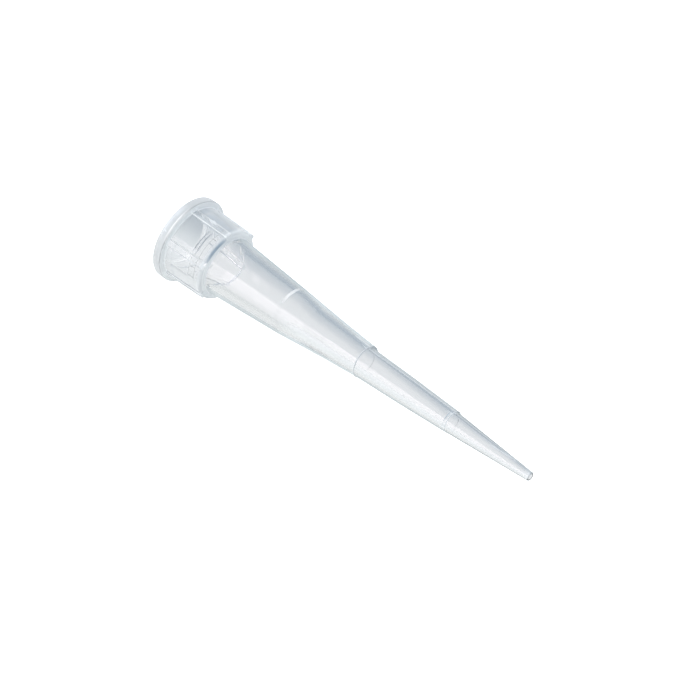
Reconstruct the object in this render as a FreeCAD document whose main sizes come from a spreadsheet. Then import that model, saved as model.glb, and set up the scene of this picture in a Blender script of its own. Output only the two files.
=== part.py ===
import FreeCAD, Part
import math
import os
import Sketcher
from FreeCAD import Vector

# A short pipette tip for small volumes: one piece of moulded polypropylene.
#
# It stands on its wide mouth, with the axis along +Z and the fine orifice at the top.
# The origin is the centre of the mouth. Heights run up from the mouth and radii out from
# the axis, in millimetres. The bore is what the core pin leaves, and the outside follows
# it by named walls, so a change to the bore carries the skin with it.

SIZES = (
    # Collar: the thick, ribbed end that a nozzle pushes into.
    ("rim_height", 0.66, "height of the plain rim round the mouth"),
    ("rim_overhang", 0.42, "how far the rim stands out from the collar"),
    ("rim_rounding", 0.09, "rounding of the rim's two outer edges"),
    ("collar_height", 3.95, "mouth to the collar's flat foot"),
    ("collar_wall", 0.65, "collar wall beside the lead-in, between ribs"),
    ("collar_draft", 0.05, "how much the collar narrows from rim to foot"),
    ("collar_root", 0.12, "fillet between the rim and the collar"),
    ("foot_rounding", 0.30, "rounding of the collar's foot, between ribs"),
    ("body_root", 0.08, "fillet between the collar's foot and the body"),
    # Grip ribs on the collar.
    ("rib_count", 6, "number of ribs"),
    ("rib_width", 0.48, "width of a rib, round the collar"),
    ("rib_rise", 0.105, "how far a rib stands out from the collar"),
    ("rib_bite", 0.06, "how far a rib's root reaches past the foot's rounding"),
    # Socket: the stepped hole that grips the nozzle.
    ("lead_in_depth", 0.14, "depth of the flared lead-in at the mouth"),
    ("lead_in_flare", 0.10, "how far the lead-in opens out at the mouth"),
    ("socket_radius", 1.98, "radius of the socket under the lead-in"),
    ("socket_draft", 0.07, "how much the socket narrows down to the seal"),
    ("seal_depth", 2.53, "mouth to the seal band"),
    ("seal_radius", 1.82, "radius of the cylindrical seal band"),
    ("seal_length", 0.47, "length of the seal band"),
    # Bore beyond the seal, at each change of taper.
    ("throat_radius", 1.76, "radius just past the seal"),
    ("funnel_bore", 1.36, "radius at the end of the funnel past the seal"),
    ("first_bore", 1.17, "radius at the first mark"),
    ("taper_bore", 0.92, "radius at the end of the quick taper above the first mark"),
    ("second_bore", 0.75, "radius at the second mark"),
    ("third_bore", 0.53, "radius at the third mark"),
    ("orifice_radius", 0.21, "radius of the orifice"),
    ("funnel_length", 2.00, "length of the funnel past the seal"),
    ("taper_length", 1.90, "length of the quick taper above the first mark"),
    # Walls of the body: how far the outside lies past the bore's nearest corner below.
    ("throat_wall", 0.347, "wall at the collar's foot, past the throat"),
    ("first_wall", 0.532, "wall at the first mark"),
    ("waist_wall", 0.429, "wall at the waist, past the end of the quick taper"),
    ("second_wall", 0.33, "wall above the second mark"),
    ("second_step", 0.082, "height of the step at the second mark"),
    ("neck_wall", 0.21, "wall at the neck, past the bore at the second mark"),
    ("third_wall", 0.218, "wall above the third mark"),
    ("third_step", 0.043, "height of the step at the third mark"),
    ("orifice_wall", 0.098, "wall at the orifice"),
    ("orifice_rounding", 0.08, "rounding of the orifice's outer edge"),
    # Lengths of the body, from the collar's foot to the orifice.
    ("first_length", 5.95, "collar's foot to the first mark"),
    ("waist_length", 4.00, "first mark to the waist"),
    ("second_length", 2.65, "waist to the second mark"),
    ("neck_length", 3.85, "second mark to the neck"),
    ("third_length", 3.84, "neck to the third mark"),
    ("point_length", 6.76, "third mark to the orifice"),
    # The first mark is a fine raised line.
    ("mark_width", 0.20, "width of the raised line"),
    ("mark_rise", 0.01, "how far the raised line stands out"),
)

SAME = 1e-4  # two radii or heights nearer than this are the same
BORE_TOLERANCE = 1e-3  # share of the bore's volume that the cut may be out by


class Size:
    """A length read from the sheet: its value, and the expression that keeps it bound."""

    def __init__(self, value, expression):
        self.value = value
        self.expression = expression

    def __add__(self, other):
        return Size(self.value + other.value, f"{self.expression} + {other.expression}")

    def __sub__(self, other):
        return Size(self.value - other.value, f"{self.expression} - ({other.expression})")


NOTHING = Size(0.0, "")


def make_sheet(document):
    """Write the driving dimensions into a spreadsheet, one row each, with their aliases."""
    sheet = document.addObject("Spreadsheet::Sheet", "sizes")
    for row, (alias, value, meaning) in enumerate(SIZES, start=1):
        sheet.set(f"A{row}", meaning)
        sheet.set(f"B{row}", str(value))
        sheet.setAlias(f"B{row}", alias)
    document.recompute()
    return sheet


def size(alias):
    return Size(float(sizes.get(alias)), f"sizes.{alias}")


def origin_plane(body, role):
    return next(item for item in body.Origin.OriginFeatures if item.Role == role)


def hold(sketch, kind, line, length, reference):
    """Hold a line's start at a distance from the origin, or on an axis where it is nothing."""
    if not length.expression:
        sketch.addConstraint(Sketcher.Constraint("PointOnObject", line, 1, reference))
        return
    number = sketch.addConstraint(Sketcher.Constraint(kind, -1, 1, line, 1, length.value))
    sketch.setExpression(f"Constraints[{number}]", length.expression)


def half_section(body, name, corners):
    """Draw a closed outline in the XZ plane through corners given as (radius, height)."""
    sketch = body.newObject("Sketcher::SketchObject", name)
    sketch.AttachmentSupport = [(origin_plane(body, "XZ_Plane"), "")]
    sketch.MapMode = "FlatFace"
    points = [Vector(radius.value, height.value, 0) for radius, height in corners]
    count = len(points)
    for start in range(count):
        sketch.addGeometry(Part.LineSegment(points[start], points[(start + 1) % count]))
    for line in range(count):
        sketch.addConstraint(Sketcher.Constraint("Coincident", line, 2, (line + 1) % count, 1))
    for line, (radius, height) in enumerate(corners):
        hold(sketch, "DistanceX", line, radius, -2)
        hold(sketch, "DistanceY", line, height, -1)
    return sketch


def turn(body, name, sketch, kind="PartDesign::Revolution"):
    """Turn a half section about the axis, as added or as removed material."""
    feature = body.newObject(kind, name)
    feature.Profile = sketch
    feature.ReferenceAxis = (sketch, ["V_Axis"])
    feature.Angle = 360
    document.recompute()
    return feature


def ring_edges(feature, rings):
    """Names of the feature's circular edges that lie at the given (radius, height) pairs."""
    names = []
    for radius, height in rings:
        found = [
            f"Edge{number}"
            for number, edge in enumerate(feature.Shape.Edges, start=1)
            if isinstance(edge.Curve, Part.Circle)
            and abs(edge.Curve.Radius - radius.value) < SAME
            and abs(edge.Curve.Center.z - height.value) < SAME
        ]
        if len(found) != 1:
            raise RuntimeError(f"{feature.Name}: {len(found)} edges at r {radius.value}, z {height.value}")
        names += found
    return names


def round_rings(body, name, base, rings, rounding):
    """Round the circular edges at the given (radius, height) pairs."""
    fillet = body.newObject("PartDesign::Fillet", name)
    fillet.Base = (base, ring_edges(base, rings))
    fillet.Radius = rounding.value
    fillet.setExpression("Radius", rounding.expression)
    document.recompute()
    return fillet


def frusta_volume(corners):
    """Volume inside a turned outline of (radius, height) corners."""
    return sum(
        math.pi / 3 * (high.value - low.value) * (near.value ** 2 + near.value * far.value + far.value ** 2)
        for (near, low), (far, high) in zip(corners, corners[1:])
    )


document = FreeCAD.newDocument("pipette_tip")
sizes = make_sheet(document)

# Heights of the stations along the axis.
rim_height = size("rim_height")
collar_height = size("collar_height")
first_height = collar_height + size("first_length")
waist_height = first_height + size("waist_length")
second_height = waist_height + size("second_length")
neck_height = second_height + size("neck_length")
third_height = neck_height + size("third_length")
top_height = third_height + size("point_length")
seal_depth = size("seal_depth")
seal_end = seal_depth + size("seal_length")

funnel_height = seal_end + size("funnel_length")
taper_height = first_height + size("taper_length")

# Radii of the outside at those stations: the bore's radius and the wall round it.
collar_radius = size("socket_radius") + size("collar_wall")
foot_radius = collar_radius - size("collar_draft")
rim_radius = collar_radius + size("rim_overhang")
body_radius = size("throat_radius") + size("throat_wall")
first_radius = size("first_bore") + size("first_wall")
waist_radius = size("taper_bore") + size("waist_wall")
second_radius = size("second_bore") + size("second_wall")
neck_radius = size("second_bore") + size("neck_wall")
third_radius = size("third_bore") + size("third_wall")
top_radius = size("orifice_radius") + size("orifice_wall")

body = document.addObject("PartDesign::Body", "pipette_tip")
body.Label = "pipette_tip"

# Blank: the outside, from the mouth up through the stepped cones to the orifice.
blank = turn(body, "blank", half_section(body, "outside", [
    (NOTHING, NOTHING),
    (rim_radius, NOTHING),
    (rim_radius, rim_height),
    (collar_radius, rim_height),
    (foot_radius, collar_height),
    (body_radius, collar_height),
    (first_radius, first_height),
    (waist_radius, waist_height),
    (second_radius + size("second_step"), second_height),
    (second_radius, second_height),
    (neck_radius, neck_height),
    (third_radius + size("third_step"), third_height),
    (third_radius, third_height),
    (top_radius, top_height),
    (NOTHING, top_height),
]))

# First mark: a fine line that stands out where the taper steepens.
half_mark = Size(size("mark_width").value / 2, "sizes.mark_width / 2")
mark = turn(body, "first_mark", half_section(body, "mark_section", [
    (first_radius - size("first_wall"), first_height - half_mark),
    (first_radius + size("mark_rise"), first_height - half_mark),
    (first_radius + size("mark_rise"), first_height + half_mark),
    (first_radius - size("first_wall"), first_height + half_mark),
]))

# Roundings of the blank, before the ribs stand on it with their own square ends.
rounded = round_rings(body, "rounded_rim", mark, [(rim_radius, NOTHING), (rim_radius, rim_height)],
                      size("rim_rounding"))
rounded = round_rings(body, "rounded_collar_root", rounded, [(collar_radius, rim_height)],
                      size("collar_root"))
rounded = round_rings(body, "rounded_foot", rounded, [(foot_radius, collar_height)],
                      size("foot_rounding"))
rounded = round_rings(body, "rounded_body_root", rounded, [(body_radius, collar_height)],
                      size("body_root"))
rounded = round_rings(body, "rounded_orifice", rounded, [(top_radius, top_height)],
                      size("orifice_rounding"))

# One grip rib, a slice of a ring that runs from the rim to the collar's foot, then its copies.
rib_root = foot_radius - size("foot_rounding") - size("rib_bite")
rib_sketch = half_section(body, "rib_section", [
    (rib_root, rim_height),
    (collar_radius + size("rib_rise"), rim_height),
    (foot_radius + size("rib_rise"), collar_height),
    (rib_root, collar_height),
])
rib = turn(body, "rib", rib_sketch)
rib.Midplane = True
rib.setExpression("Angle", f"2 * asin(sizes.rib_width / 2 / ({foot_radius.expression}))")
document.recompute()

ribs = body.newObject("PartDesign::PolarPattern", "ribs")
ribs.Originals = [rib]
ribs.Axis = (rib_sketch, ["V_Axis"])
ribs.Angle = 360
ribs.setExpression("Occurrences", "sizes.rib_count")
body.Tip = ribs
document.recompute()

# Bore: lead-in, socket, seal band and the tapers down to the orifice, cut right through.
bore_corners = [
    (size("socket_radius") + size("lead_in_flare"), NOTHING),
    (size("socket_radius"), size("lead_in_depth")),
    (size("socket_radius") - size("socket_draft"), seal_depth),
    (size("seal_radius"), seal_depth),
    (size("seal_radius"), seal_end),
    (size("throat_radius"), seal_end),
    (size("funnel_bore"), funnel_height),
    (size("first_bore"), first_height),
    (size("taper_bore"), taper_height),
    (size("second_bore"), second_height),
    (size("third_bore"), third_height),
    (size("orifice_radius"), top_height),
]
blank_volume = body.Shape.Volume
bore_section = half_section(body, "bore_section", [(NOTHING, NOTHING)] + bore_corners + [(NOTHING, top_height)])
bore = turn(body, "bore", bore_section, "PartDesign::Groove")
body.Tip = bore
document.recompute()

for item in document.Objects:
    if "Invalid" in item.State or "Error" in item.State:
        raise RuntimeError(f"{item.Name} did not build: {item.State}")
if body.Shape.isNull() or not body.Shape.isValid() or len(body.Shape.Solids) != 1:
    raise RuntimeError("the tip is not one valid solid")
bore_volume = frusta_volume(bore_corners)
if abs(blank_volume - body.Shape.Volume - bore_volume) > bore_volume * BORE_TOLERANCE:
    raise RuntimeError("the bore did not cut to its full volume")

os.makedirs("parts", exist_ok=True)
body.Shape.exportStep(f"parts/{body.Label}.step")
print(f"{body.Label}: {body.Shape.Volume:.3f} cubic mm, box {body.Shape.BoundBox}")
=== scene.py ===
import math

import bpy
from bpy.props import FloatProperty, FloatVectorProperty, IntProperty, PointerProperty
from bpy.types import Operator, Panel, PropertyGroup
from mathutils import Matrix, Vector


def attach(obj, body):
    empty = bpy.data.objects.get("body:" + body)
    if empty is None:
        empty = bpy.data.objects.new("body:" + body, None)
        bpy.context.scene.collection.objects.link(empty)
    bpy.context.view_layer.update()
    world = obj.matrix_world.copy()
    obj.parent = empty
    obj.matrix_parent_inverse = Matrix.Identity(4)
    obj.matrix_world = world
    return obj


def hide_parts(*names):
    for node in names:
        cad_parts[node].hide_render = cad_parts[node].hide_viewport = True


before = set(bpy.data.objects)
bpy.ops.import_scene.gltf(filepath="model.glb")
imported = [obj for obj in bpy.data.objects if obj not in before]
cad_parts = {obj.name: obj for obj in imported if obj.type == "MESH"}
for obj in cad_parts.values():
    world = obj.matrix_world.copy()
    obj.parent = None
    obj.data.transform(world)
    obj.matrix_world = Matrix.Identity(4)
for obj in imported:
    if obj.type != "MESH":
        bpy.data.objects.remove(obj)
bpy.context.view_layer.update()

bl_info = {
    "name": "Clear Pipette Tip",
    "version": (1, 0, 0),
    "blender": (4, 5, 0),
    "location": "3D View > Sidebar > Pipette Tip",
    "description": "Builds a short ribbed pipette tip in clear moulded plastic, with a plain studio round it",
    "category": "Object",
}

NODE = "pipette_tip"
MM = 0.001

# Values that the mesh carries for its material.
OUTSIDE = "outside"
FLANK = "rib_flank"


# ---------------------------------------------------------------- properties


def length(name, millimetres, description):
    """A length property, given in millimetres and kept in metres."""
    return FloatProperty(name=name, description=description, default=millimetres * MM, min=0.0,
                         unit="LENGTH", precision=6)


def share(name, default, description):
    """A property from 0 to 1."""
    return FloatProperty(name=name, description=description, default=default, min=0.0, max=1.0,
                         subtype="FACTOR")


def angle(name, degrees, description):
    """An angle property, given in degrees and kept in radians."""
    return FloatProperty(name=name, description=description, default=math.radians(degrees),
                         subtype="ANGLE", unit="ROTATION")


def colour(name, default, description):
    """A property for a linear colour of red, green and blue."""
    return FloatVectorProperty(name=name, description=description, default=default, size=3,
                               subtype="COLOR", min=0.0, max=1.0)


class TipSizes(PropertyGroup):
    """Lengths and radii of the tip, from the mouth at height 0 up to the orifice."""

    rim_height: length("Rim height", 0.66, "Height of the plain rim round the mouth")
    rim_radius: length("Rim radius", 3.05, "Radius of the rim")
    rim_rounding: length("Rim rounding", 0.09, "Rounding of the rim's two outer edges")
    collar_height: length("Collar height", 3.95, "Mouth to the collar's flat foot")
    collar_radius: length("Collar radius", 2.63, "Radius of the collar under the rim, between ribs")
    foot_radius: length("Foot radius", 2.58, "Radius of the collar at its foot, between ribs")
    collar_root: length("Collar root", 0.12, "Fillet between the rim and the collar")
    foot_rounding: length("Foot rounding", 0.30, "Rounding of the collar's foot, between ribs")
    body_root: length("Body root", 0.08, "Fillet between the collar's foot and the body")

    rib_count: IntProperty(name="Ribs", description="Number of grip ribs", default=6, min=1)
    rib_width: length("Rib width", 0.48, "Width of a rib, round the collar")
    rib_rise: length("Rib rise", 0.105, "How far a rib stands out from the collar")
    rib_flank: length("Rib flank", 0.11, "Width of a rib's sloping flank")

    lead_in_depth: length("Lead-in depth", 0.14, "Depth of the flared lead-in")
    mouth_radius: length("Mouth radius", 2.08, "Radius of the lead-in at the mouth")
    socket_radius: length("Socket radius", 1.98, "Radius of the socket past the lead-in")
    socket_end: length("Socket end radius", 1.91, "Radius of the socket just before the seal")
    seal_depth: length("Seal depth", 2.53, "Mouth to the seal band")
    seal_radius: length("Seal radius", 1.82, "Radius of the seal band")
    seal_end: length("Seal end", 3.00, "Mouth to the far end of the seal band")
    throat_radius: length("Throat radius", 1.76, "Bore radius just past the seal")

    first_height: length("First mark", 9.90, "Mouth to the first mark")
    waist_height: length("Waist", 13.90, "Mouth to the change of taper above the first mark")
    second_height: length("Second mark", 16.55, "Mouth to the second mark")
    neck_height: length("Neck", 20.40, "Mouth to the change of taper above the second mark")
    third_height: length("Third mark", 24.24, "Mouth to the third mark")
    top_height: length("Overall length", 31.00, "Mouth to the orifice")

    body_radius: length("Body radius", 2.107, "Outside radius at the collar's foot")
    first_radius: length("First radius", 1.702, "Outside radius at the first mark")
    waist_radius: length("Waist radius", 1.349, "Outside radius at the waist")
    second_radius: length("Second radius", 1.080, "Outside radius just above the second mark")
    second_step: length("Second step", 0.082, "Height of the step at the second mark")
    neck_radius: length("Neck radius", 0.960, "Outside radius at the neck")
    third_radius: length("Third radius", 0.748, "Outside radius just above the third mark")
    third_step: length("Third step", 0.043, "Height of the step at the third mark")
    top_radius: length("Top radius", 0.308, "Outside radius at the orifice")
    step_rounding: length("Step rounding", 0.02, "Rounding of the two steps")
    top_rounding: length("Top rounding", 0.08, "Rounding of the orifice's outer edge")

    funnel_height: length("Funnel height", 5.00, "Mouth to the end of the funnel past the seal")
    funnel_bore: length("Funnel bore", 1.36, "Bore radius at the end of the funnel")
    first_bore: length("First bore", 1.17, "Bore radius at the first mark")
    taper_height: length("Taper height", 11.80, "Mouth to the end of the bore's faster taper")
    taper_bore: length("Taper bore", 0.92, "Bore radius at the end of its faster taper")
    second_bore: length("Second bore", 0.75, "Bore radius at the second mark")
    third_bore: length("Third bore", 0.53, "Bore radius at the third mark")
    orifice_radius: length("Orifice radius", 0.21, "Radius of the orifice")
    edge_rounding: length("Edge rounding", 0.02, "Rounding of every other edge")

    mark_width: length("Mark width", 0.20, "Width of the frosted line at the first mark")

    shift_bearing: angle("Shift bearing", 10.0, "Direction in which the mould's blocks are out of line")
    first_shift: length("First shift", 0.03, "How far the outside is off centre at the first mark")
    second_shift: length("Second shift", 0.03, "How far it is off the other way under the second mark")
    neck_shift: length("Neck shift", 0.042, "How far it is off centre just above the second mark")
    third_shift: length("Third shift", 0.026, "How far it is off the other way under the third mark")


class TipFinish(PropertyGroup):
    """Clearness, milkiness and colours of the moulded plastic, and the painted light and shade laid over it.
    """

    tint: colour("Tint", (0.957, 0.955, 0.962), "Colour of the clear plastic")
    refraction: FloatProperty(name="Index of refraction", description="How strongly the plastic bends light",
                              default=1.49, min=1.0, max=3.0)
    gloss_low: share("Least roughness", 0.0, "Roughness of the best polished patches")
    gloss_high: share("Most roughness", 0.03, "Roughness of the dullest patches")
    mark_roughness: share("Mark roughness", 0.15, "Roughness of the frosted line")

    body_haze: share("Body haze", 0.06, "How milky the thin body is")
    collar_haze: share("Collar haze", 0.20, "How milky the thick collar is")
    side_haze: share("Side haze", 0.3, "How much milkier the collar is where it's seen edge on")
    rim_haze: share("Rim haze", 0.75, "How milky the thicker rim is")
    foot_haze: share("Foot haze", 0.8, "How milky the collar's rounded foot is")
    # Partly milkiness, partly a painted highlight line along each flank.
    flank_haze: share("Flank haze", 0.55, "How milky the flanks of the ribs are")
    edge_haze: share("Edge haze", 0.5, "How milky the sharp outer edges are")
    step_haze: share("Step haze", 0.75, "How milky the faces of the two steps are")
    mark_haze: share("Mark haze", 0.60, "How milky the frosted line is")
    faint: share("Faint share", 0.2, "How much shows of a line on the side where it's faint")

    haze_colour: colour("Haze colour", (0.735, 0.745, 0.77), "Colour of the milkiness")
    collar_colour: colour("Collar colour", (0.66, 0.67, 0.69), "Colour of the milkiness on the collar's wall")
    # Painted shade: the rim's side takes this tone except where it is painted lit.
    rim_shade_colour: colour("Rim colour", (0.59, 0.595, 0.605), "Colour of the milkiness on the rim's side")
    # Partly milkiness, partly painted light: the ribs' flanks and the foot's shaded side take this paler
    # tone.
    ledge_and_highlight_colour: colour("Ledge colour", (0.82, 0.83, 0.84),
                         "Colour of the milkiness on the ledges and the ribs' flanks")
    # Painted highlights: the rim's edge, and the first mark on its lit side.
    highlight_colour: colour("Line colour", (0.90, 0.88, 0.88),
                        "Colour of the bright lines at the rim's edge and the first mark")

    # Painted highlight: the frosted line is real, but it shows bright only on this side.
    mark_bearing: angle("Mark bearing", -30.0, "Side on which the frosted line is lit")
    mark_spread: angle("Mark spread", 42.0, "How far round it is lit, to each side")
    # Painted light: the ribs' flanks show their bright lines faintly on this side.
    unlit_flank_bearing: angle("Soft bearing", 30.0, "Side on which the flanks of the ribs are faint")
    unlit_flank_spread: angle("Soft spread", 40.0, "How far round they stay faint, to each side")
    # Painted light: the side where the rim's edge has a painted highlight and the rim's side is painted lit.
    painted_highlight_bearing: angle("Bright bearing", 3.0, "Side on which the rim and its edge are bright")
    painted_highlight_spread: angle("Bright spread", 30.0, "How far round they stay bright, to each side")

    # Painted shade along the body's outline, where its wall is seen edge on.
    grazing_shade: share("Veil", 0.85, "How strongly the body's wall is veiled where it's seen edge on")
    # Painted shade: a darker tone laid on the body's shaded side.
    painted_side_shade: share("Deep shade", 0.5, "How strongly the body darkens on its deep side")
    painted_side_tone: share("Deep tone", 0.75, "Tone of that side, as a share of the veil's")
    painted_side_bearing: angle("Deep bearing", -80.0, "Where the body's deep side lies")
    painted_side_spread: angle("Deep spread", 50.0, "How far round it reaches, to each side")
    # Painted light: a paler tone laid up one side of the body's upper part.
    painted_streak_light: share("Streak haze", 0.5, "How milky the pale streak is that runs up the body's upper part")
    painted_streak_colour: colour("Streak colour", (0.755, 0.76, 0.765), "Colour of that streak")
    painted_streak_bearing: angle("Streak bearing", 47.0, "Side on which the streak runs")
    painted_streak_spread: angle("Streak spread", 17.0, "How far round it reaches, to each side")

    # Painted shade: the dark foot, the seal's rings and the fine line, darkest on one side.
    shade_colour: colour("Shade colour", (0.34, 0.40, 0.47), "Colour of the dark foot, rings and fine line")
    painted_shade_bearing: angle("Dark bearing", 0.0, "Side on which the foot and the seal are dark")
    painted_shade_spread: angle("Dark spread", 28.0, "How far round they stay dark, to each side")
    foot_shade: share("Foot shade", 1.0, "How dark the foot is next to the body")
    ring_shade: share("Ring shade", 1.0, "How dark the two rings at the seal's step are")
    ring_offset: length("Ring offset", 0.10, "Seal's step to the middle of each dark ring")
    ring_width: length("Ring width", 0.085, "Half the width of each dark ring")
    third_shade: share("Third shade", 0.65, "How dark the fine line at the third mark is")
    third_drop: length("Third drop", 0.19, "How far that line lies below the step")


class StudioSettings(PropertyGroup):
    """Camera, floor and lights."""

    bearing: angle("Bearing", 10.0, "Camera's bearing round the tip")
    height: angle("Height", 28.92, "Camera's height above the horizon, as an angle")
    roll: angle("Roll", 124.8, "How far the camera is rolled")
    distance: length("Distance", 310.3, "Camera to the point it looks at")
    aim_height: length("Aim height", 15.1, "Height of the point that the camera looks at")
    aim_side: length("Aim side", 0.075, "How far that point lies to the left of the axis")
    focal_length: length("Focal length", 246.9, "Length of the camera's lens")
    fill_bearing: angle("Fill bearing", -80.0, "Bearing of the soft fill light round the tip")
    fill_height: angle("Fill height", 35.0, "Height of the fill light above the horizon, as an angle")
    fill_distance: length("Fill distance", 600.0, "Tip to the fill light")
    fill_size: length("Fill size", 400.0, "Width of the fill light")
    fill_power: FloatProperty(name="Fill power", description="Power of the fill light", default=0.45,
                              min=0.0, unit="POWER")
    fill_colour: colour("Fill colour", (1.0, 0.96, 0.93), "Colour of the fill light")
    floor_radius: length("Floor radius", 4000.0, "Radius of the floor")
    floor_colour: colour("Floor colour", (0.9, 0.9, 0.9), "Colour of the floor")
    floor_glow: share("Floor glow", 0.8, "How strongly the floor shines by itself")


# ------------------------------------------------------------------- shaders

# Sockets of a Mix node that mixes colours.
MIX_FIRST = 6
MIX_SECOND = 7
MIX_RESULT = 2


class Socket:
    """A shader socket, or a plain number, that adds Math nodes when it is used in an expression."""

    def __init__(self, tree, value):
        self.tree = tree
        self.value = value

    def maths(self, operation, *others):
        """A Math node on this socket and any others."""
        return self.tree.add("ShaderNodeMath", {"operation": operation}, [self.value, *others])

    def limit(self, top=1.0):
        """The same value, kept between 0 and a top."""
        return self.maths("MAXIMUM", 0.0).maths("MINIMUM", top)

    def __add__(self, other):
        return self.maths("ADD", other)

    def __sub__(self, other):
        return self.maths("SUBTRACT", other)

    def __mul__(self, other):
        return self.maths("MULTIPLY", other)

    def __truediv__(self, other):
        return self.maths("DIVIDE", other)

    def __rsub__(self, other):
        return Socket(self.tree, other) - self

    def __rtruediv__(self, other):
        return Socket(self.tree, other) / self

    __radd__ = __add__
    __rmul__ = __mul__


class Tree:
    """The node tree of a material or a world, filled by one method."""

    def __init__(self, owner):
        owner.use_nodes = True
        self.graph = owner.node_tree
        self.graph.nodes.clear()

    def add(self, kind, settings=None, inputs=None, output=0):
        """Add a node: its settings first, then its sockets by place or by name."""
        node = self.graph.nodes.new(kind)
        for name, value in (settings or {}).items():
            if name == "stops":
                self.set_stops(node.color_ramp, value)
            else:
                setattr(node, name, value)
        pairs = inputs.items() if isinstance(inputs, dict) else enumerate(inputs or [])
        for place, value in pairs:
            self.feed(node.inputs[place], value)
        return Socket(self, node.outputs[output]) if node.outputs else node

    def feed(self, socket, value):
        """Link a socket or set its value; a colour gets its alpha here."""
        value = value.value if isinstance(value, Socket) else value
        if isinstance(value, bpy.types.NodeSocket):
            self.graph.links.new(value, socket)
        elif socket.type == "RGBA":
            socket.default_value = (*value, 1.0)
        else:
            socket.default_value = value

    @staticmethod
    def set_stops(ramp, stops):
        """Give a colour ramp its (place, colour) stops."""
        while len(ramp.elements) < len(stops):
            ramp.elements.new(0.5)
        for element, (place, value) in zip(ramp.elements, stops):
            element.position = place
            element.color = (*value, 1.0)

    def ramp(self, stops, place):
        """The colour of a ramp at a place from 0 to 1."""
        return self.add("ShaderNodeValToRGB", {"stops": stops}, [place], "Color")

    def dot(self, first, second):
        """The dot product of two vectors."""
        return self.add("ShaderNodeVectorMath", {"operation": "DOT_PRODUCT"}, [first, second], "Value")

    def mix_colours(self, factor, first, second):
        """A mix of two colours."""
        inputs = {"Factor": factor, MIX_FIRST: first, MIX_SECOND: second}
        return self.add("ShaderNodeMix", {"data_type": "RGBA"}, inputs, MIX_RESULT)

    def mix_shaders(self, factor, first, second):
        """A mix of two shaders."""
        return self.add("ShaderNodeMixShader", inputs=[factor, first, second])

    def matt(self, tone):
        """A matt surface that shows one tone, with no gloss."""
        return self.add("ShaderNodeBsdfPrincipled", inputs={
            "Base Color": tone, "Roughness": 1.0, "Specular IOR Level": 0.0})


def direction(bearing, height=0.0):
    """Unit vector towards a bearing round the tip and an angle above the horizon; bearing 0 is -Y."""
    return Vector((math.sin(bearing) * math.cos(height), -math.cos(bearing) * math.cos(height),
                   math.sin(height)))


def rightwards(bearing):
    """Level unit vector to the right of someone who looks at the tip from a bearing."""
    return Vector((math.cos(bearing), math.sin(bearing), 0.0))


# ------------------------------------------------------------- clear plastic

GLOSS_SCALE = 900.0  # fineness of the patches that differ in polish
GLOSS_DETAIL = 2.0
SHARP = 0.53  # pointiness from which an edge turns milky
SHARP_GAIN = 12.0
GRAZING_SHADE_START = 0.5  # how far aslant the wall is seen before its painted shade starts
GRAZING_SHADE_GAIN = 5.0
CORE = 1 / 3  # share of a side's spread that it fills completely
FOOT_REACH = 1.6  # start of the milky foot, in foot roundings below its flat
SHADE_REACH = 0.5  # the same for its dark curve
SHADE_RUN = 0.3  # and how soon that curve is fully dark
HIGHLIGHT_START = 2.0  # reach of the painted highlight in from the rim's corner, in its widths
HIGHLIGHT_WIDTH = 0.9  # its width, in rim roundings
RIM_LIGHT_FADE = 2.3  # reach of the painted light on the rim's side, in thirds of its height


def smoke(value):
    """A faintly blue grey."""
    return (0.95 * value, value, 1.02 * value)


# Painted shade: tone of the body's wall where it's seen edge on, by share of the whole height. The sections'
# walls differ.
GRAZING_SHADE_STOPS = (
    (0.00, smoke(0.54)),
    (0.32, smoke(0.54)),
    (0.40, smoke(0.64)),
    (0.532, smoke(0.64)),
    (0.536, smoke(0.49)),
    (0.780, smoke(0.48)),
    (0.785, smoke(0.42)),
    (1.00, smoke(0.38)),
)


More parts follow.
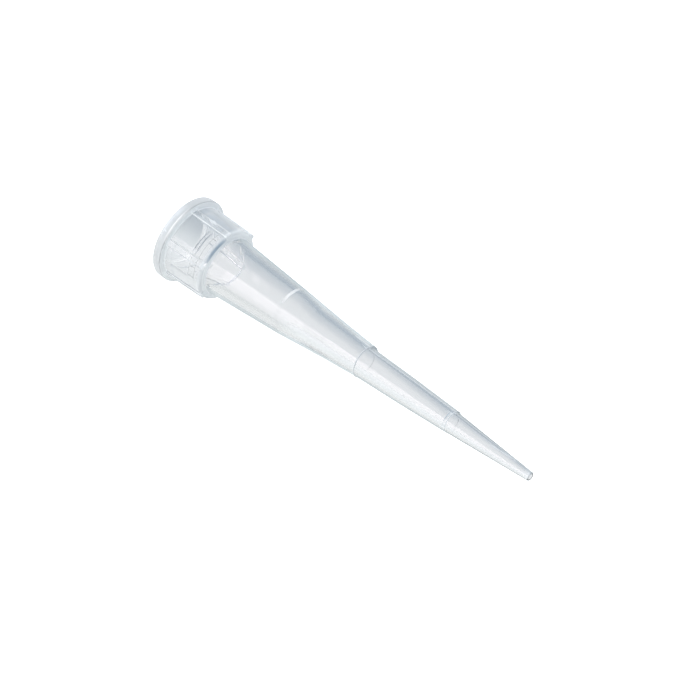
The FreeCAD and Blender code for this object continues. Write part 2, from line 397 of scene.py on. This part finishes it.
class Skin:
    """Measures of the tip's skin, and places on it: each place is 1 inside and 0 elsewhere.

    seen is the outer skin from outside, and aslant runs from 0, seen square on, to 1, seen edge on.
    """

    def __init__(self, tree, sizes, finish):
        self.tree = tree
        self.position = tree.add("ShaderNodeNewGeometry", output="Position")
        self.height = tree.add("ShaderNodeSeparateXYZ", inputs=[self.position], output="Z")
        level = tree.add("ShaderNodeVectorMath", {"operation": "MULTIPLY"}, [self.position, (1.0, 1.0, 0.0)])
        self.radius = tree.add("ShaderNodeVectorMath", {"operation": "LENGTH"}, [level], "Value")
        self.spoke = tree.add("ShaderNodeVectorMath", {"operation": "NORMALIZE"}, [level])
        self.outside = tree.add("ShaderNodeAttribute", {"attribute_name": OUTSIDE}, output="Fac")
        self.inward = tree.add("ShaderNodeNewGeometry", output="Backfacing")
        self.seen = self.outside * (1.0 - self.inward)
        self.aslant = tree.add("ShaderNodeLayerWeight", inputs={"Blend": 0.5}, output="Facing")
        bend = tree.add("ShaderNodeNewGeometry", output="Pointiness")
        self.on_edge = ((bend - SHARP) * SHARP_GAIN).limit(finish.edge_haze)

        self.in_rim = self.below(sizes.rim_height + sizes.collar_root)
        self.in_collar = self.below(sizes.collar_height - sizes.edge_rounding)
        self.under_body = self.below(sizes.collar_height + sizes.body_root)
        self.on_flat = self.near(sizes.collar_height, sizes.edge_rounding)
        foot_start = sizes.collar_height - FOOT_REACH * sizes.foot_rounding
        self.in_foot = self.above(foot_start, sizes.foot_rounding) * self.under_body
        # Painted highlight on the ribs' flanks, faint on one side.
        soft = self.side(finish.unlit_flank_bearing, finish.unlit_flank_spread)
        flank = tree.add("ShaderNodeAttribute", {"attribute_name": FLANK}, output="Fac")
        self.on_flank = flank * (1.0 - soft * (1 - finish.faint))

        self.on_mark = self.near(sizes.first_height, sizes.mark_width / 2)
        # The frosted line is real; its brightness on one side is a painted highlight.
        lit = self.side(finish.mark_bearing, finish.mark_spread)
        self.lit_mark = self.on_mark * (lit * (1 - finish.faint) + finish.faint)
        step_reach = 2 * sizes.step_rounding
        self.on_steps = self.near(sizes.second_height, step_reach) + self.near(sizes.third_height, step_reach)
        self.under_third = self.near(sizes.third_height - finish.third_drop, step_reach)

        # The side where the rim's edge has a painted highlight and its side is painted lit.
        self.bright = self.side(finish.painted_highlight_bearing, finish.painted_highlight_spread)
        # The side that carries the body's painted shade.
        self.shaded = self.side(finish.painted_side_bearing, finish.painted_side_spread)
        # The side that carries the painted shade of the foot, the seal's rings and the fine line.
        self.dark = self.side(finish.painted_shade_bearing, finish.painted_shade_spread)
        # Painted highlight along the rim's outer edge, on that side.
        off_corner = (sizes.rim_radius - self.radius) + (sizes.rim_height - self.height)
        rim_line = (HIGHLIGHT_START - off_corner / (HIGHLIGHT_WIDTH * sizes.rim_rounding)).limit()
        self.rim_highlight = rim_line * self.in_rim * self.bright

    def below(self, height):
        """Everything below a height."""
        return self.height.maths("LESS_THAN", height)

    def above(self, height, run, top=1.0):
        """Everything above a height, rising from 0 by 1 over a run, up to a top value."""
        return ((self.height - height) / run).limit(top)

    def near(self, height, reach):
        """A band to both sides of a height."""
        return (self.height - height).maths("ABSOLUTE").maths("LESS_THAN", reach)

    def side(self, bearing, spread):
        """The side of the tip that faces a bearing, fading to 0 at a given angle from it."""
        turned = self.tree.dot(self.spoke, direction(bearing))
        edge = math.cos(spread)
        core = math.cos(spread * CORE)
        return ((turned - edge) / (core - edge)).limit()


def clear_gloss(skin, finish):
    """Clear plastic, a little less polished in patches and frosted in a fine line at the first mark."""
    patches = skin.tree.add("ShaderNodeTexNoise", inputs={
        "Vector": skin.position, "Scale": GLOSS_SCALE, "Detail": GLOSS_DETAIL})
    gloss = patches * (finish.gloss_high - finish.gloss_low) + finish.gloss_low
    return skin.tree.add("ShaderNodeBsdfPrincipled", inputs={
        "Base Color": finish.tint,
        "Roughness": gloss.maths("MAXIMUM", skin.on_mark * finish.mark_roughness),
        "IOR": finish.refraction,
        "Transmission Weight": 1.0,
    })


def milkiness(skin, finish):
    """How milky the plastic is: more where it is thick or sharp, and along the marks. It also carries painted
    highlights on the rim's edge and the ribs' flanks.
    """
    collar = skin.aslant * finish.side_haze + (finish.collar_haze - finish.body_haze)
    milk = skin.in_collar * collar + finish.body_haze
    milk = milk + skin.in_rim * (finish.rim_haze - finish.collar_haze)
    milk = milk + skin.on_edge + skin.on_flank * finish.flank_haze
    milk = milk.maths("MAXIMUM", skin.lit_mark * finish.mark_haze)
    milk = milk.maths("MAXIMUM", skin.in_foot * finish.foot_haze)
    milk = (milk + skin.on_steps * finish.step_haze).maths("MINIMUM", 1.0)
    # Painted highlight on the rim's edge.
    return milk.maths("MAXIMUM", skin.rim_highlight)


def milk_colour(skin, sizes, finish):
    """Colour of the milkiness: the collar, its ledges, the rim's side and the bright lines have their own.
    The rim's side is painted lit on one side and painted shade elsewhere, and the bright lines are painted
    highlights.
    """
    mix = skin.tree.mix_colours
    # Painted light: near the mouth the rim's side is lit on one side and shaded elsewhere.
    near_mouth = (RIM_LIGHT_FADE - skin.height / (sizes.rim_height / 3)).limit()
    rim = mix(skin.bright * near_mouth, finish.rim_shade_colour, finish.haze_colour)
    on_rim_side = skin.below(sizes.rim_height - sizes.edge_rounding / 2)
    # The paler tone on the ribs' flanks is a painted highlight, and on the foot, only on its shaded side, it
    # is painted light.
    on_ledges = (skin.in_rim + skin.on_flat + skin.on_flank + skin.in_foot * skin.shaded).maths("MINIMUM", 1.0)
    milk = mix(skin.in_collar, finish.haze_colour, finish.collar_colour)
    milk = mix(on_ledges, milk, finish.ledge_and_highlight_colour)
    milk = mix(on_rim_side, milk, rim)
    # Painted highlights on the rim's edge and on the first mark's lit side.
    return mix(skin.rim_highlight.maths("MAXIMUM", skin.lit_mark), milk, finish.highlight_colour)


def paint_body_light(skin, sizes, finish, surface):
    """Lay over a surface painted shade on the body's shaded side, a painted streak of light and painted shade
    along its wall seen edge on.
    """
    tree = skin.tree
    on_body = (1.0 - skin.under_body) * skin.seen
    tone = tree.ramp(GRAZING_SHADE_STOPS, skin.height / sizes.top_height)
    painted_side_tone = tree.add("ShaderNodeVectorMath", {"operation": "SCALE"}, {0: tone, "Scale": finish.painted_side_tone})
    # Painted shade on the body's shaded side.
    surface = tree.mix_shaders(skin.shaded * on_body * finish.painted_side_shade, surface, tree.matt(painted_side_tone))
    # Painted light: a paler streak on one side, above the first mark.
    upper = skin.above(sizes.first_height, sizes.waist_height - sizes.first_height, finish.painted_streak_light)
    streak = skin.side(finish.painted_streak_bearing, finish.painted_streak_spread) * upper
    surface = tree.mix_shaders(streak * skin.seen, surface, tree.matt(finish.painted_streak_colour))
    # Painted shade that darkens the wall as it is seen more edge on.
    grazing_shade = ((skin.aslant - GRAZING_SHADE_START) * GRAZING_SHADE_GAIN).limit(finish.grazing_shade)
    return tree.mix_shaders(grazing_shade * on_body, surface, tree.matt(tone))


def paint_shade(skin, sizes, finish):
    """Where shade is painted on the plastic: the foot's curve between ribs, two rings at the seal and a fine
    line.
    """
    shade_start = sizes.collar_height - SHADE_REACH * sizes.foot_rounding
    on_curve = skin.above(shade_start, SHADE_RUN * sizes.foot_rounding)
    on_curve = on_curve * skin.below(sizes.collar_height - sizes.edge_rounding / 4)
    on_curve = on_curve * skin.radius.maths("LESS_THAN", sizes.foot_radius + sizes.edge_rounding)
    off_ring = ((skin.height - sizes.seal_depth).maths("ABSOLUTE") - finish.ring_offset).maths("ABSOLUTE")
    on_ring = (1.0 - off_ring / finish.ring_width).maths("MAXIMUM", 0.0) * skin.inward * (1.0 - skin.outside)
    dark = (on_curve * skin.seen * finish.foot_shade + on_ring * finish.ring_shade) * skin.dark
    fine_line = skin.under_third * skin.seen * (skin.dark * (1 - finish.faint) + finish.faint)
    return dark + fine_line * finish.third_shade


def clear_plastic(sizes, finish):
    """Glossy clear plastic with the milky places of a thick moulding, and painted highlights, painted light
    and painted shade laid over it.
    """
    material = bpy.data.materials.new("clear_polypropylene")
    tree = Tree(material)
    skin = Skin(tree, sizes, finish)
    milk = tree.matt(milk_colour(skin, sizes, finish))
    surface = tree.mix_shaders(milkiness(skin, finish) * skin.seen, clear_gloss(skin, finish), milk)
    surface = paint_body_light(skin, sizes, finish, surface)
    # Painted shade laid over everything else.
    surface = tree.mix_shaders(paint_shade(skin, sizes, finish), surface, tree.matt(finish.shade_colour))
    tree.add("ShaderNodeOutputMaterial", inputs={"Surface": surface})
    return material


# --------------------------------------------------------------------- shape

ARC_STEPS = 5  # stretches in a rounded corner
RUN_STEP = 0.30 * MM  # spacing of the rows along a straight run
EDGE_GUARD = 0.012 * MM  # how close to an edge the nearest row of points lies
COLLAR_STEPS = (2, 14, 3)  # rows along the rim's flat, the collar's wall and its foot
FLANK_STEPS = 6  # columns across a rib's flank
TOP_STEPS = 4  # and across its top
WALL_STEPS = 24  # and across the wall between two ribs
CREST = 0.3  # milkiness and painted highlight along a rib's crest, as a share of the most on its flank


def divide_run(start, end, count):
    """Points along a straight run, with one close to each end to hold the edges crisp."""
    run = end - start
    guard = EDGE_GUARD / run.length if run.length > 4 * EDGE_GUARD else 0.0
    places = [0.0, guard] if guard else [0.0]
    places += [guard + (1 - 2 * guard) * step / count for step in range(1, count)]
    places += [1 - guard, 1.0] if guard else [1.0]
    return [start + run * place for place in places]


def round_corner(before, corner, after, rounding):
    """Points of the arc that rounds a corner, from its first tangent point to its last."""
    back = (before - corner).normalized()
    on = (after - corner).normalized()
    opening = back.angle(on)
    reach = rounding / math.tan(opening / 2)
    middle = corner + (back + on).normalized() * (rounding / math.sin(opening / 2))
    spoke = corner + back * reach - middle
    sweep = spoke.angle_signed(corner + on * reach - middle)
    points = []
    for step in range(ARC_STEPS + 1):
        turn = -sweep * step / ARC_STEPS
        points.append(middle + Vector((spoke.x * math.cos(turn) - spoke.y * math.sin(turn),
                                       spoke.x * math.sin(turn) + spoke.y * math.cos(turn))))
    return points


def trace(corners, counts=None):
    """An outline through (radius, height, rounding) corners: straight runs, and arcs at the rounded ones."""
    places = [Vector(corner[:2]) for corner in corners]
    stretches = [[places[0]]]
    for number in range(1, len(corners) - 1):
        rounding = corners[number][2]
        around = places[number - 1:number + 2]
        stretches.append(round_corner(*around, rounding) if rounding else [around[1]])
    stretches.append([places[-1]])
    outline = []
    for number, (stretch, following) in enumerate(zip(stretches, stretches[1:])):
        start, end = stretch[-1], following[0]
        count = counts[number] if counts else max(1, round((end - start).length / RUN_STEP))
        outline += stretch[:-1] + divide_run(start, end, count)[:-1]
    return outline + stretches[-1]


def collar_outline(sizes, rise, root, foot):
    """The collar from the rim's flat to its own flat foot, at a given rise above the collar's wall."""
    start = sizes.collar_radius + sizes.rib_rise + sizes.collar_root
    end = sizes.foot_radius - sizes.foot_rounding - sizes.rib_rise / 2
    return trace([
        (start, sizes.rim_height, 0.0),
        (sizes.collar_radius + rise, sizes.rim_height, root),
        (sizes.foot_radius + rise, sizes.collar_height, foot),
        (end, sizes.collar_height, 0.0),
    ], counts=COLLAR_STEPS)


def rim_outline(sizes, start, end):
    """From the socket over the mouth's face and the rim, to the flat where the collar starts."""
    return trace([
        (*start, 0.0),
        (sizes.mouth_radius, 0.0, sizes.edge_rounding),
        (sizes.rim_radius, 0.0, sizes.rim_rounding),
        (sizes.rim_radius, sizes.rim_height, sizes.rim_rounding),
        (*end, 0.0),
    ])


def body_outline(sizes, start):
    """From the collar's foot up the stepped cones, over the orifice and down the bore to the lead-in."""
    edge = sizes.edge_rounding
    return trace([
        (*start, 0.0),
        (sizes.body_radius, sizes.collar_height, sizes.body_root),
        (sizes.first_radius, sizes.first_height, 0.0),
        (sizes.waist_radius, sizes.waist_height, 0.0),
        (sizes.second_radius + sizes.second_step, sizes.second_height, sizes.step_rounding),
        (sizes.second_radius, sizes.second_height, sizes.step_rounding),
        (sizes.neck_radius, sizes.neck_height, 0.0),
        (sizes.third_radius + sizes.third_step, sizes.third_height, sizes.step_rounding),
        (sizes.third_radius, sizes.third_height, sizes.step_rounding),
        (sizes.top_radius, sizes.top_height, sizes.top_rounding),
        (sizes.orifice_radius, sizes.top_height, edge / 2),
        (sizes.third_bore, sizes.third_height, 0.0),
        (sizes.second_bore, sizes.second_height, 0.0),
        (sizes.taper_bore, sizes.taper_height, 0.0),
        (sizes.first_bore, sizes.first_height, 0.0),
        (sizes.funnel_bore, sizes.funnel_height, 0.0),
        (sizes.throat_radius, sizes.seal_end, edge),
        (sizes.seal_radius, sizes.seal_end, edge),
        (sizes.seal_radius, sizes.seal_depth, edge),
        (sizes.socket_end, sizes.seal_depth, edge),
        (sizes.socket_radius, sizes.lead_in_depth, 0.0),
    ])


def flank_column(start, sweep, part):
    """A column of points on a rib's flank, at a part of the way from the collar's wall to the rib's top."""
    rise = part * part * (3 - 2 * part)
    return start + sweep * part, rise, 4 * rise * (1 - rise) + CREST * rise


def rib_columns(sizes):
    """(angle, rise, milk) of each column of points round the tip: the rise is 1 on top of a rib."""
    pitch = 2 * math.pi / sizes.rib_count
    half = sizes.rib_width / 2 / sizes.foot_radius
    flank = sizes.rib_flank / 2 / sizes.foot_radius
    gap = pitch - 2 * (half + flank)
    parts = [step / FLANK_STEPS for step in range(FLANK_STEPS + 1)]
    columns = []
    for rib in range(sizes.rib_count):
        start = rib * pitch - half
        end = rib * pitch + half
        columns += [flank_column(start - flank, 2 * flank, part) for part in parts]
        columns += [(start + flank + 2 * (half - flank) * step / TOP_STEPS, 1.0, 0.0)
                    for step in range(1, TOP_STEPS)]
        columns += [flank_column(end + flank, -2 * flank, 1 - part) for part in parts]
        columns += [(end + flank + gap * step / WALL_STEPS, 0.0, 0.0) for step in range(1, WALL_STEPS)]
    return columns


def outside_shift(sizes, height):
    """How far the outside is off centre at a height: the mould's stacked blocks don't quite line up."""
    jump = sizes.edge_rounding
    places = (
        (sizes.collar_height, 0.0),
        (sizes.first_height, sizes.first_shift),
        (sizes.second_height - jump, -sizes.second_shift),
        (sizes.second_height + jump, sizes.neck_shift),
        (sizes.third_height - jump, -sizes.third_shift),
        (sizes.third_height + jump, 0.0),
    )
    for (low, before), (high, after) in zip(places, places[1:]):
        if low <= height < high:
            return before + (after - before) * (height - low) / (high - low)
    return 0.0


def carry(mesh, name, values):
    """Store one value for each point of a mesh."""
    mesh.attributes.new(name, "FLOAT", "POINT").data.foreach_set("value", values)


def grid_faces(columns, rows):
    """Four-sided faces of a grid of points that closes on itself both ways."""
    faces = []
    for column in range(columns):
        here, there = column * rows, (column + 1) % columns * rows
        for row in range(rows):
            above = (row + 1) % rows
            faces.append((here + row, there + row, there + above, here + above))
    return faces


def tip_mesh(sizes):
    """The whole tip as one closed skin: the outline turned about the axis, raised where the ribs are."""
    wall = collar_outline(sizes, 0.0, sizes.collar_root, sizes.foot_rounding)
    rib = collar_outline(sizes, sizes.rib_rise, sizes.edge_rounding, sizes.edge_rounding)
    body = body_outline(sizes, wall[-1])
    rim = rim_outline(sizes, body[-1], wall[0])
    mouth = next(number for number, point in enumerate(rim) if point.y <= 0.0)
    top = max(range(len(body)), key=lambda number: body[number].y)
    body_start = len(rim) + len(wall) - 2
    rows = body_start + len(body) - 1
    shifts = [0.0] * rows
    for number in range(top):
        shifts[body_start + number] = outside_shift(sizes, body[number].y)
    aside = math.cos(sizes.shift_bearing), math.sin(sizes.shift_bearing)

    columns = rib_columns(sizes)
    vertices = []
    for turn, rise, _ in columns:
        collar = [low.lerp(high, rise) for low, high in zip(wall, rib)]
        outline = rim[:-1] + collar[:-1] + body[:-1]
        vertices += [(point.x * math.cos(turn) + shift * aside[0],
                      point.x * math.sin(turn) + shift * aside[1],
                      point.y) for point, shift in zip(outline, shifts)]

    mesh = bpy.data.meshes.new(NODE)
    mesh.from_pydata(vertices, [], grid_faces(len(columns), rows))
    mesh.validate()
    mesh.polygons.foreach_set("use_smooth", [True] * len(mesh.polygons))
    outside = [float(mouth <= row <= body_start + top) for row in range(rows)]
    carry(mesh, OUTSIDE, outside * len(columns))
    on_collar = [float(len(rim) <= row < len(rim) + len(wall)) for row in range(rows)]
    carry(mesh, FLANK, [milk * place for _, _, milk in columns for place in on_collar])
    mesh.update()
    return mesh


# -------------------------------------------------------------------- studio

DISC_STEPS = 96
SENSOR_WIDTH = 36.0  # of the camera, in millimetres
TENT_STRENGTH = 6.0  # of the light tent, whose colours are shares of this


def shine(*value):
    """A brightness of the light tent in red, green and blue, as a share of its strength."""
    return tuple(part / TENT_STRENGTH for part in value)


# Brightness of the tent by bearing: 0 and 1 are behind the tip, 0.25 is to its left, 0.5 towards the camera.
TENT_STOPS = (
    (0.00, shine(0.97, 1.00, 1.02)),
    (0.012, shine(0.95, 0.98, 1.00)),
    (0.03, shine(0.78, 0.83, 0.87)),
    (0.12, shine(0.50, 0.58, 0.66)),
    (0.30, shine(0.50, 0.58, 0.66)),
    (0.50, shine(0.80, 0.86, 0.92)),
    (0.54, shine(0.80, 0.86, 0.92)),
    (0.69, shine(0.95, 1.0, 1.02)),
    (0.80, shine(0.86, 0.90, 0.91)),
    (0.89, shine(0.96, 0.99, 1.00)),
    (0.93, shine(0.95, 0.98, 0.99)),
    (1.00, shine(0.97, 1.00, 1.02)),
)

# Share of that brightness by height: 0 is straight down, 0.5 level and 1 straight up.
CLIMB_STOPS = (
    (0.00, (1.10, 1.10, 1.10)),
    (0.09, (1.10, 1.10, 1.10)),
    (0.17, (0.87, 0.87, 0.86)),
    (0.45, (0.87, 0.87, 0.86)),
    (0.60, (1.05, 1.05, 1.03)),
    (1.00, (1.20, 1.20, 1.17)),
)

# The long low light on the right: its share by bearing, then by height.
BOX_TURN_STOPS = (
    (0.541, (0.0, 0.0, 0.0)),
    (0.544, (1.0, 1.0, 1.0)),
    (0.555, (1.0, 1.0, 1.0)),
    (0.575, (0.75, 0.75, 0.75)),
    (0.690, (0.68, 0.68, 0.68)),
    (0.695, (0.0, 0.0, 0.0)),
)
BOX_CLIMB_STOPS = (
    (0.245, (0.0, 0.0, 0.0)),
    (0.265, (1.0, 1.0, 1.0)),
    (0.40, (1.0, 1.0, 1.0)),
    (0.46, (0.0, 0.0, 0.0)),
)
BOX_COLOUR = shine(3.9, 3.6, 3.7)

# Shade of the floor inside the mouth, from the left to the right.
MOUTH_STOPS = (
    (0.00, (0.30, 0.35, 0.39)),
    (0.25, (0.45, 0.50, 0.54)),
    (0.50, (0.68, 0.73, 0.75)),
    (0.62, (0.75, 0.79, 0.81)),
    (1.00, (0.75, 0.79, 0.81)),
)


def lay_disc(scene, name, radius, material):
    """A flat disc on the ground."""
    turns = [2 * math.pi * step / DISC_STEPS for step in range(DISC_STEPS)]
    mesh = bpy.data.meshes.new(name)
    mesh.from_pydata([(radius * math.cos(turn), radius * math.sin(turn), 0.0) for turn in turns], [],
                     [tuple(range(DISC_STEPS))])
    mesh.materials.append(material)
    disc = bpy.data.objects.new(name, mesh)
    scene.collection.objects.link(disc)
    return disc


def lay_floor(scene, studio):
    """The pale floor, hidden from glossy and transmitted light so that the tip shows only the tent."""
    material = bpy.data.materials.new("pale_floor")
    tree = Tree(material)
    card = tree.add("ShaderNodeBsdfDiffuse", inputs={"Color": studio.floor_colour})
    glow = tree.add("ShaderNodeEmission", inputs={"Color": (1.0, 1.0, 1.0), "Strength": studio.floor_glow})
    both = tree.add("ShaderNodeAddShader", inputs=[card, glow])
    tree.add("ShaderNodeOutputMaterial", inputs={"Surface": both})
    floor = lay_disc(scene, "floor", studio.floor_radius, material)
    floor.visible_glossy = False
    floor.visible_transmission = False


def shade_mouth(scene, sizes, studio):
    """The patch of floor inside the mouth, in the collar's own shade, as it shows through the wall."""
    material = bpy.data.materials.new("mouth_shade")
    tree = Tree(material)
    place = tree.add("ShaderNodeNewGeometry", output="Position")
    across = tree.dot(place, rightwards(studio.bearing)) / (2 * sizes.socket_radius) + 0.5
    glow = tree.add("ShaderNodeBsdfPrincipled", inputs={
        "Base Color": (0.0, 0.0, 0.0), "Specular IOR Level": 0.0,
        "Emission Color": tree.ramp(MOUTH_STOPS, across), "Emission Strength": 1.0})
    tree.add("ShaderNodeOutputMaterial", inputs={"Surface": glow})
    patch = lay_disc(scene, "mouth_shade", sizes.socket_radius, material)
    patch.visible_camera = False
    patch.visible_diffuse = False


def hang_tent(scene, studio):
    """The light tent all round the tip, with a long low light on the right."""
    world = bpy.data.worlds.new("light_tent")
    scene.world = world
    tree = Tree(world)
    towards = tree.add("ShaderNodeTexCoord", output="Generated")
    across = tree.dot(towards, rightwards(studio.bearing))
    along = tree.dot(towards, direction(studio.bearing))
    turn = across.maths("ARCTAN2", along) / (2 * math.pi) + 0.5
    climb = tree.add("ShaderNodeSeparateXYZ", inputs=[towards], output="Z") * 0.5 + 0.5
    tent = tree.add("ShaderNodeVectorMath", {"operation": "MULTIPLY"}, [
        tree.ramp(TENT_STOPS, turn), tree.ramp(CLIMB_STOPS, climb)])
    in_box = tree.ramp(BOX_TURN_STOPS, turn) * tree.ramp(BOX_CLIMB_STOPS, climb)
    sky = tree.add("ShaderNodeBackground", inputs={
        "Color": tree.mix_colours(in_box, tent, BOX_COLOUR), "Strength": TENT_STRENGTH})
    tree.add("ShaderNodeOutputWorld", inputs={"Surface": sky})


def hang_fill(scene, studio):
    """A soft light on the left that only reaches milky surfaces, as the clear ones show the tent."""
    lamp = bpy.data.lights.new("fill", "AREA")
    lamp.shape = "DISK"
    lamp.size = studio.fill_size
    lamp.energy = studio.fill_power
    lamp.color = studio.fill_colour
    fill = bpy.data.objects.new("fill", lamp)
    scene.collection.objects.link(fill)
    away = direction(studio.fill_bearing, studio.fill_height)
    facing = away.to_track_quat("Z", "Y").to_matrix().to_4x4()
    fill.matrix_world = Matrix.Translation(away * studio.fill_distance) @ facing
    fill.visible_camera = False
    fill.visible_glossy = False
    fill.visible_transmission = False


def place_camera(scene, studio):
    """A long lens that looks down on the standing tip, rolled so that the tip lies across the view."""
    data = bpy.data.cameras.new("camera")
    data.sensor_width = SENSOR_WIDTH
    data.lens = studio.focal_length / MM
    data.clip_start = studio.distance / 10
    data.clip_end = studio.floor_radius * 3
    camera = bpy.data.objects.new("camera", data)
    scene.collection.objects.link(camera)
    away = direction(studio.bearing, studio.height)
    upright = (-away).to_track_quat("-Z", "Y").to_matrix()
    turned = upright @ Matrix.Rotation(studio.roll, 3, "Z")
    aim = rightwards(studio.bearing) * -studio.aim_side + Vector((0.0, 0.0, studio.aim_height))
    camera.matrix_world = Matrix.Translation(aim + away * studio.distance) @ turned.to_4x4()
    scene.camera = camera
    scene.view_settings.view_transform = "Standard"


# ----------------------------------------------------------------- operators


class TIP_OT_build(Operator):
    """Build the clear moulded tip in place of its plain CAD solid"""

    bl_idname = "tip.build"
    bl_label = "Build Tip"

    def execute(self, context):
        scene = context.scene
        tip = bpy.data.objects.new("moulded_tip", tip_mesh(scene.tip_sizes))
        scene.collection.objects.link(tip)
        tip.data.materials.append(clear_plastic(scene.tip_sizes, scene.tip_finish))
        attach(tip, "root")
        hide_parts(NODE)
        return {"FINISHED"}


class TIP_OT_stage(Operator):
    """Set up the plain pale floor, the soft studio light and the camera"""

    bl_idname = "tip.stage"
    bl_label = "Set Up Studio"

    def execute(self, context):
        scene = context.scene
        studio = scene.tip_studio
        lay_floor(scene, studio)
        shade_mouth(scene, scene.tip_sizes, studio)
        hang_tent(scene, studio)
        hang_fill(scene, studio)
        place_camera(scene, studio)
        return {"FINISHED"}


class TIP_PT_panel(Panel):
    """Lists the steps that build the tip and its studio"""

    bl_idname = "TIP_PT_panel"
    bl_label = "Pipette Tip"
    bl_space_type = "VIEW_3D"
    bl_region_type = "UI"
    bl_category = "Pipette Tip"

    def draw(self, context):
        for operator in (TIP_OT_build, TIP_OT_stage):
            self.layout.operator(operator.bl_idname)


CLASSES = (TipSizes, TipFinish, StudioSettings, TIP_OT_build, TIP_OT_stage, TIP_PT_panel)


def register():
    for item in CLASSES:
        bpy.utils.register_class(item)
    bpy.types.Scene.tip_sizes = PointerProperty(type=TipSizes)
    bpy.types.Scene.tip_finish = PointerProperty(type=TipFinish)
    bpy.types.Scene.tip_studio = PointerProperty(type=StudioSettings)


def unregister():
    del bpy.types.Scene.tip_studio
    del bpy.types.Scene.tip_finish
    del bpy.types.Scene.tip_sizes
    for item in reversed(CLASSES):
        bpy.utils.unregister_class(item)


def main():
    """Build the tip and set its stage."""
    register()
    bpy.ops.tip.build()
    bpy.ops.tip.stage()


if __name__ == "__main__":
    main()
